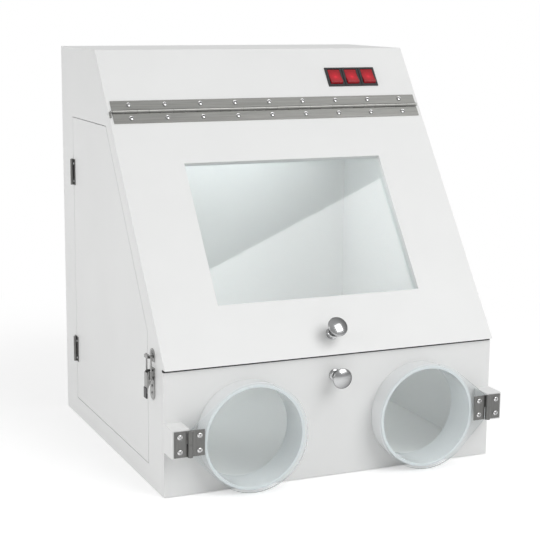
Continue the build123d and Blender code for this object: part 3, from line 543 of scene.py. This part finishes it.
screw_group("piano_upper_screws", "root", PIANO_HEAD, HEAD_HEIGHT, SHANK, 7 * MM, piano_seat,
            "upper_hinge_screws")
screw_group("piano_lower_screws", "window_door", PIANO_HEAD, HEAD_HEIGHT, SHANK, 7 * MM, piano_seat,
            "lower_hinge_screws")
screw_group("block_leaf_screws", "front_panel", COVER_HEAD, HEAD_HEIGHT, SHANK, 12 * MM, cover_seat,
            "block_screws")
screw_group("left_cover_screws", "left_cover", COVER_HEAD, HEAD_HEIGHT, SHANK, 4.2 * MM, cover_seat,
            "left_tab_screws")
screw_group("right_cover_screws", "right_cover", COVER_HEAD, HEAD_HEIGHT, SHANK, 4.2 * MM, cover_seat,
            "right_tab_screws")
screw_group("side_frame_screws", "root", 2 * MM, HEAD_HEIGHT, SIDE_SHANK, 6 * MM, side_seat, "frame_screws")
screw_group("side_door_screws", "side_door", 2 * MM, HEAD_HEIGHT, SIDE_SHANK, 6 * MM, side_seat,
            "door_screws")
screw_group("latch_screws", "root", 2.2 * MM, 1 * MM, SIDE_SHANK, 6.2 * MM, latch_seat, "catch_screws")


# Mushroom knobs

def knob_mesh(name):
    """Foot, slim stem, flared head with a fine groove under the rim, and a low dome."""
    foot = [(0, 0), (7.7, 0), (8, 0.3), (8, 1.3), (7.7, 1.6)]
    fillet = arc_points((8.0, 4.8), 3.2, 270, 180, 8)[1:]
    stem = [(4.8, 14)]
    flare = arc_points((13.35, 14.0), 8.55, 180, 96, 14)[1:]
    flare = [(r, z) for r, z in flare if r < 13.2]
    rim = [(13.45, 22.5), (13.7, 22.8), (13.7, 23.5), (13.45, 23.8), (13.2, 23.95), (13.35, 24.15),
           (13.3, 24.4)]
    dome_radius = (13.2 ** 2 + 3.45 ** 2) / (2 * 3.45)
    dome_start = math.degrees(math.asin(13.2 / dome_radius))
    dome = arc_points((0, 28.0 - dome_radius), dome_radius, 90 - dome_start, 90, 14)
    profile = foot + fillet + stem + flare + rim + dome[:-1] + [(0, 28.0)]
    profile = [(max(r, 0) * MM, z * MM) for r, z in profile]
    return mesh_of(name, lathe(profile, 96), 40)


def knob(name, node, body, place):
    mesh = knob_mesh(name)
    mesh.transform(place)
    finish_mesh(name, mesh, MATERIALS["chrome"], body, [node])


def box_centre(node):
    low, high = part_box(node)
    return (low + high) / 2


door_knob_centre = box_centre("door_knob")
panel_knob_centre = box_centre("panel_knob")
knob("door_pull", "door_knob", "window_door", on_slope(0, down_slope_of(door_knob_centre)))
knob("panel_pull", "panel_knob", "front_panel", on_front(0, FRONT_Y, panel_knob_centre.z))


# Lit rockers

GLOW_RISE = 5.5 * MM
GLOW_DROP = 1.2 * MM

for number in (1, 2, 3):
    rocker = NODES[f"rocker_{number}"]
    pivot = Vector(JOINTS[f"rocker_{number}_pivot"]["pos_m"])
    out = Vector((0, -SLOPE_COS, SLOPE_SIN))
    up = Vector((0, SLOPE_SIN, SLOPE_COS))
    glow_centre = pivot + out * GLOW_RISE - up * GLOW_DROP
    paint(rocker, glow_cap_material(f"rocker_glow_{number}", glow_centre))
    ease_edges(rocker, 0.7, 3)


# Lamps inside the chamber

LAMP_PIN_LENGTH = 7
LAMP_PIN_SPREAD = 6.35
LAMP_CAP_LENGTH = 14


def lamp(node, body, glow, name):
    """A tube with two metal caps and two pins at each end, along X."""
    low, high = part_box(node)
    centre = (low + high) / 2
    half = (high.x - low.x) / 2 / MM
    pins = LAMP_PIN_LENGTH
    cap = LAMP_CAP_LENGTH
    body_half = half - pins
    along_x = Matrix.Translation(centre) @ Matrix.Rotation(math.pi / 2, 4, "Y")
    glass = [(0, -body_half + cap), (11, -body_half + cap), (13, -body_half + cap + 3)]
    glass = glass + [(r, -z) for r, z in reversed(glass)]
    mesh = mesh_of(f"{name}_glass", lathe([(r * MM, z * MM) for r, z in glass], 40))
    mesh.transform(along_x)
    finish_mesh(f"{name}_glass", mesh, glow, body, [node])
    for side in (-1, 1):
        outline = [(0, 0), (11.5, 0), (12.6, 1), (12.6, cap - 1), (11.8, cap + 0.5), (0, cap + 0.5)]
        shell = lathe([(r * MM, (z - body_half) * side * MM) for r, z in outline], 40)
        for y in (-LAMP_PIN_SPREAD, LAMP_PIN_SPREAD):
            pin = bmesh.ops.create_cone(shell, segments=14, radius1=1.2 * MM, radius2=1.2 * MM,
                                        depth=pins * MM, cap_ends=True)["verts"]
            bmesh.ops.translate(shell, verts=pin, vec=(0, y * MM, -side * (body_half + pins / 2) * MM))
        mesh = mesh_of(f"{name}_cap", shell)
        mesh.transform(along_x)
        side_word = "right" if side < 0 else "left"
        finish_mesh(f"{name}_cap_{side_word}", mesh, MATERIALS["cap_metal"], body)


lamp("white_lamp", "root", MATERIALS["white_lamp_glow"], "white_tube")
lamp("uv_lamp", "root", MATERIALS["uv_lamp_glow"], "uv_tube")


# Floor, world, lamps and camera

def node_tree_of(owner):
    owner.use_nodes = True
    owner.node_tree.nodes.clear()
    return owner.node_tree


def floor():
    """A pale floor that keeps the object's shadow and turns into the white background."""
    bpy.ops.mesh.primitive_plane_add(size=12, location=(0, 0, 0))
    plane = bpy.context.object
    plane.name = "floor"
    material = bpy.data.materials.new("floor")
    tree = node_tree_of(material)
    output = tree.nodes.new("ShaderNodeOutputMaterial")
    diffuse = tree.nodes.new("ShaderNodeBsdfDiffuse")
    diffuse.inputs["Color"].default_value = (0.86, 0.86, 0.86, 1)
    lift = tree.nodes.new("ShaderNodeEmission")
    lift.inputs["Strength"].default_value = 0.34
    white = tree.nodes.new("ShaderNodeEmission")
    white.inputs["Strength"].default_value = 1.0
    near = tree.nodes.new("ShaderNodeAddShader")
    blend = tree.nodes.new("ShaderNodeMixShader")
    final = tree.nodes.new("ShaderNodeMixShader")
    coordinates = tree.nodes.new("ShaderNodeTexCoord")
    length = tree.nodes.new("ShaderNodeVectorMath")
    length.operation = "LENGTH"
    fade = tree.nodes.new("ShaderNodeMapRange")
    fade.interpolation_type = "SMOOTHSTEP"
    fade.inputs["From Min"].default_value = 0.35
    fade.inputs["From Max"].default_value = 1.1
    path = tree.nodes.new("ShaderNodeLightPath")
    direct = tree.nodes.new("ShaderNodeMath")
    direct.operation = "MAXIMUM"
    shown = tree.nodes.new("ShaderNodeMath")
    shown.operation = "MAXIMUM"
    links = tree.links
    links.new(path.outputs["Is Camera Ray"], direct.inputs[0])
    links.new(path.outputs["Is Glossy Ray"], direct.inputs[1])
    links.new(direct.outputs["Value"], shown.inputs[0])
    links.new(path.outputs["Is Transmission Ray"], shown.inputs[1])
    links.new(coordinates.outputs["Object"], length.inputs[0])
    links.new(length.outputs["Value"], fade.inputs["Value"])
    links.new(diffuse.outputs["BSDF"], near.inputs[0])
    links.new(lift.outputs["Emission"], near.inputs[1])
    links.new(fade.outputs["Result"], blend.inputs["Fac"])
    links.new(near.outputs["Shader"], blend.inputs[1])
    links.new(white.outputs["Emission"], blend.inputs[2])
    links.new(shown.outputs["Value"], final.inputs["Fac"])
    links.new(diffuse.outputs["BSDF"], final.inputs[1])
    links.new(blend.outputs["Shader"], final.inputs[2])
    links.new(final.outputs["Shader"], output.inputs["Surface"])
    plane.data.materials.append(material)


def world():
    """Soft light from all round, weaker from the front, and white behind the object."""
    scene_world = bpy.data.worlds.new("studio")
    bpy.context.scene.world = scene_world
    tree = node_tree_of(scene_world)
    output = tree.nodes.new("ShaderNodeOutputWorld")
    room = tree.nodes.new("ShaderNodeBackground")
    white = tree.nodes.new("ShaderNodeBackground")
    mix = tree.nodes.new("ShaderNodeMixShader")
    path = tree.nodes.new("ShaderNodeLightPath")
    seen = tree.nodes.new("ShaderNodeMath")
    seen.operation = "MAXIMUM"
    coordinates = tree.nodes.new("ShaderNodeTexCoord")
    parts = tree.nodes.new("ShaderNodeSeparateXYZ")
    ramp = tree.nodes.new("ShaderNodeValToRGB")
    ramp.color_ramp.elements[0].position = 0.15
    ramp.color_ramp.elements[0].color = (0.40, 0.40, 0.40, 1)
    ramp.color_ramp.elements[1].position = 0.75
    ramp.color_ramp.elements[1].color = (0.68, 0.68, 0.68, 1)
    span = tree.nodes.new("ShaderNodeMapRange")
    span.inputs["From Min"].default_value = -1.0
    white.inputs["Color"].default_value = (1, 1, 1, 1)
    links = tree.links
    links.new(coordinates.outputs["Generated"], parts.inputs["Vector"])
    links.new(parts.outputs["Y"], span.inputs["Value"])
    links.new(span.outputs["Result"], ramp.inputs["Fac"])
    links.new(ramp.outputs["Color"], room.inputs["Color"])
    links.new(path.outputs["Is Camera Ray"], seen.inputs[0])
    links.new(path.outputs["Is Transmission Ray"], seen.inputs[1])
    links.new(seen.outputs["Value"], mix.inputs["Fac"])
    links.new(room.outputs["Background"], mix.inputs[1])
    links.new(white.outputs["Background"], mix.inputs[2])
    links.new(mix.outputs["Shader"], output.inputs["Surface"])


def softbox(name, location, target, width, height, power):
    light = bpy.data.lights.new(name, "AREA")
    light.shape = "RECTANGLE"
    light.size = width
    light.size_y = height
    light.energy = power
    lamp_object = bpy.data.objects.new(name, light)
    lamp_object.location = location
    aim = Vector(target) - Vector(location)
    lamp_object.rotation_euler = aim.to_track_quat("-Z", "Y").to_euler()
    bpy.context.scene.collection.objects.link(lamp_object)


def camera():
    """The photograph's viewpoint, solved from the cabinet's own edges."""
    yaw = math.radians(23.56)
    pitch = math.radians(-10.84)
    roll = math.radians(0.435)
    position = Vector((-0.8028, -1.8516, 0.6271))
    focal_pixels = 1407.1
    image_width = 540
    forward = Vector((math.sin(yaw) * math.cos(pitch), math.cos(yaw) * math.cos(pitch), math.sin(pitch)))
    right = Vector((math.cos(yaw), -math.sin(yaw), 0))
    up = right.cross(forward)
    right_rolled = right * math.cos(roll) + up * math.sin(roll)
    up_rolled = up * math.cos(roll) - right * math.sin(roll)
    data = bpy.data.cameras.new("camera")
    data.sensor_width = 36
    data.lens = focal_pixels * data.sensor_width / image_width
    data.clip_end = 50
    eye = bpy.data.objects.new("camera", data)
    eye.matrix_world = placement(position, right_rolled, up_rolled, -forward)
    bpy.context.scene.collection.objects.link(eye)
    bpy.context.scene.camera = eye


floor()
world()
softbox("key", (1.3, -2.6, 2.4), (0, -0.1, 0.3), 2.4, 2.4, 58)
softbox("left_fill", (-2.8, -0.6, 1.3), (-0.2, 0, 0.3), 1.5, 1.5, 18)
camera()
bpy.context.scene.view_settings.view_transform = "Standard"
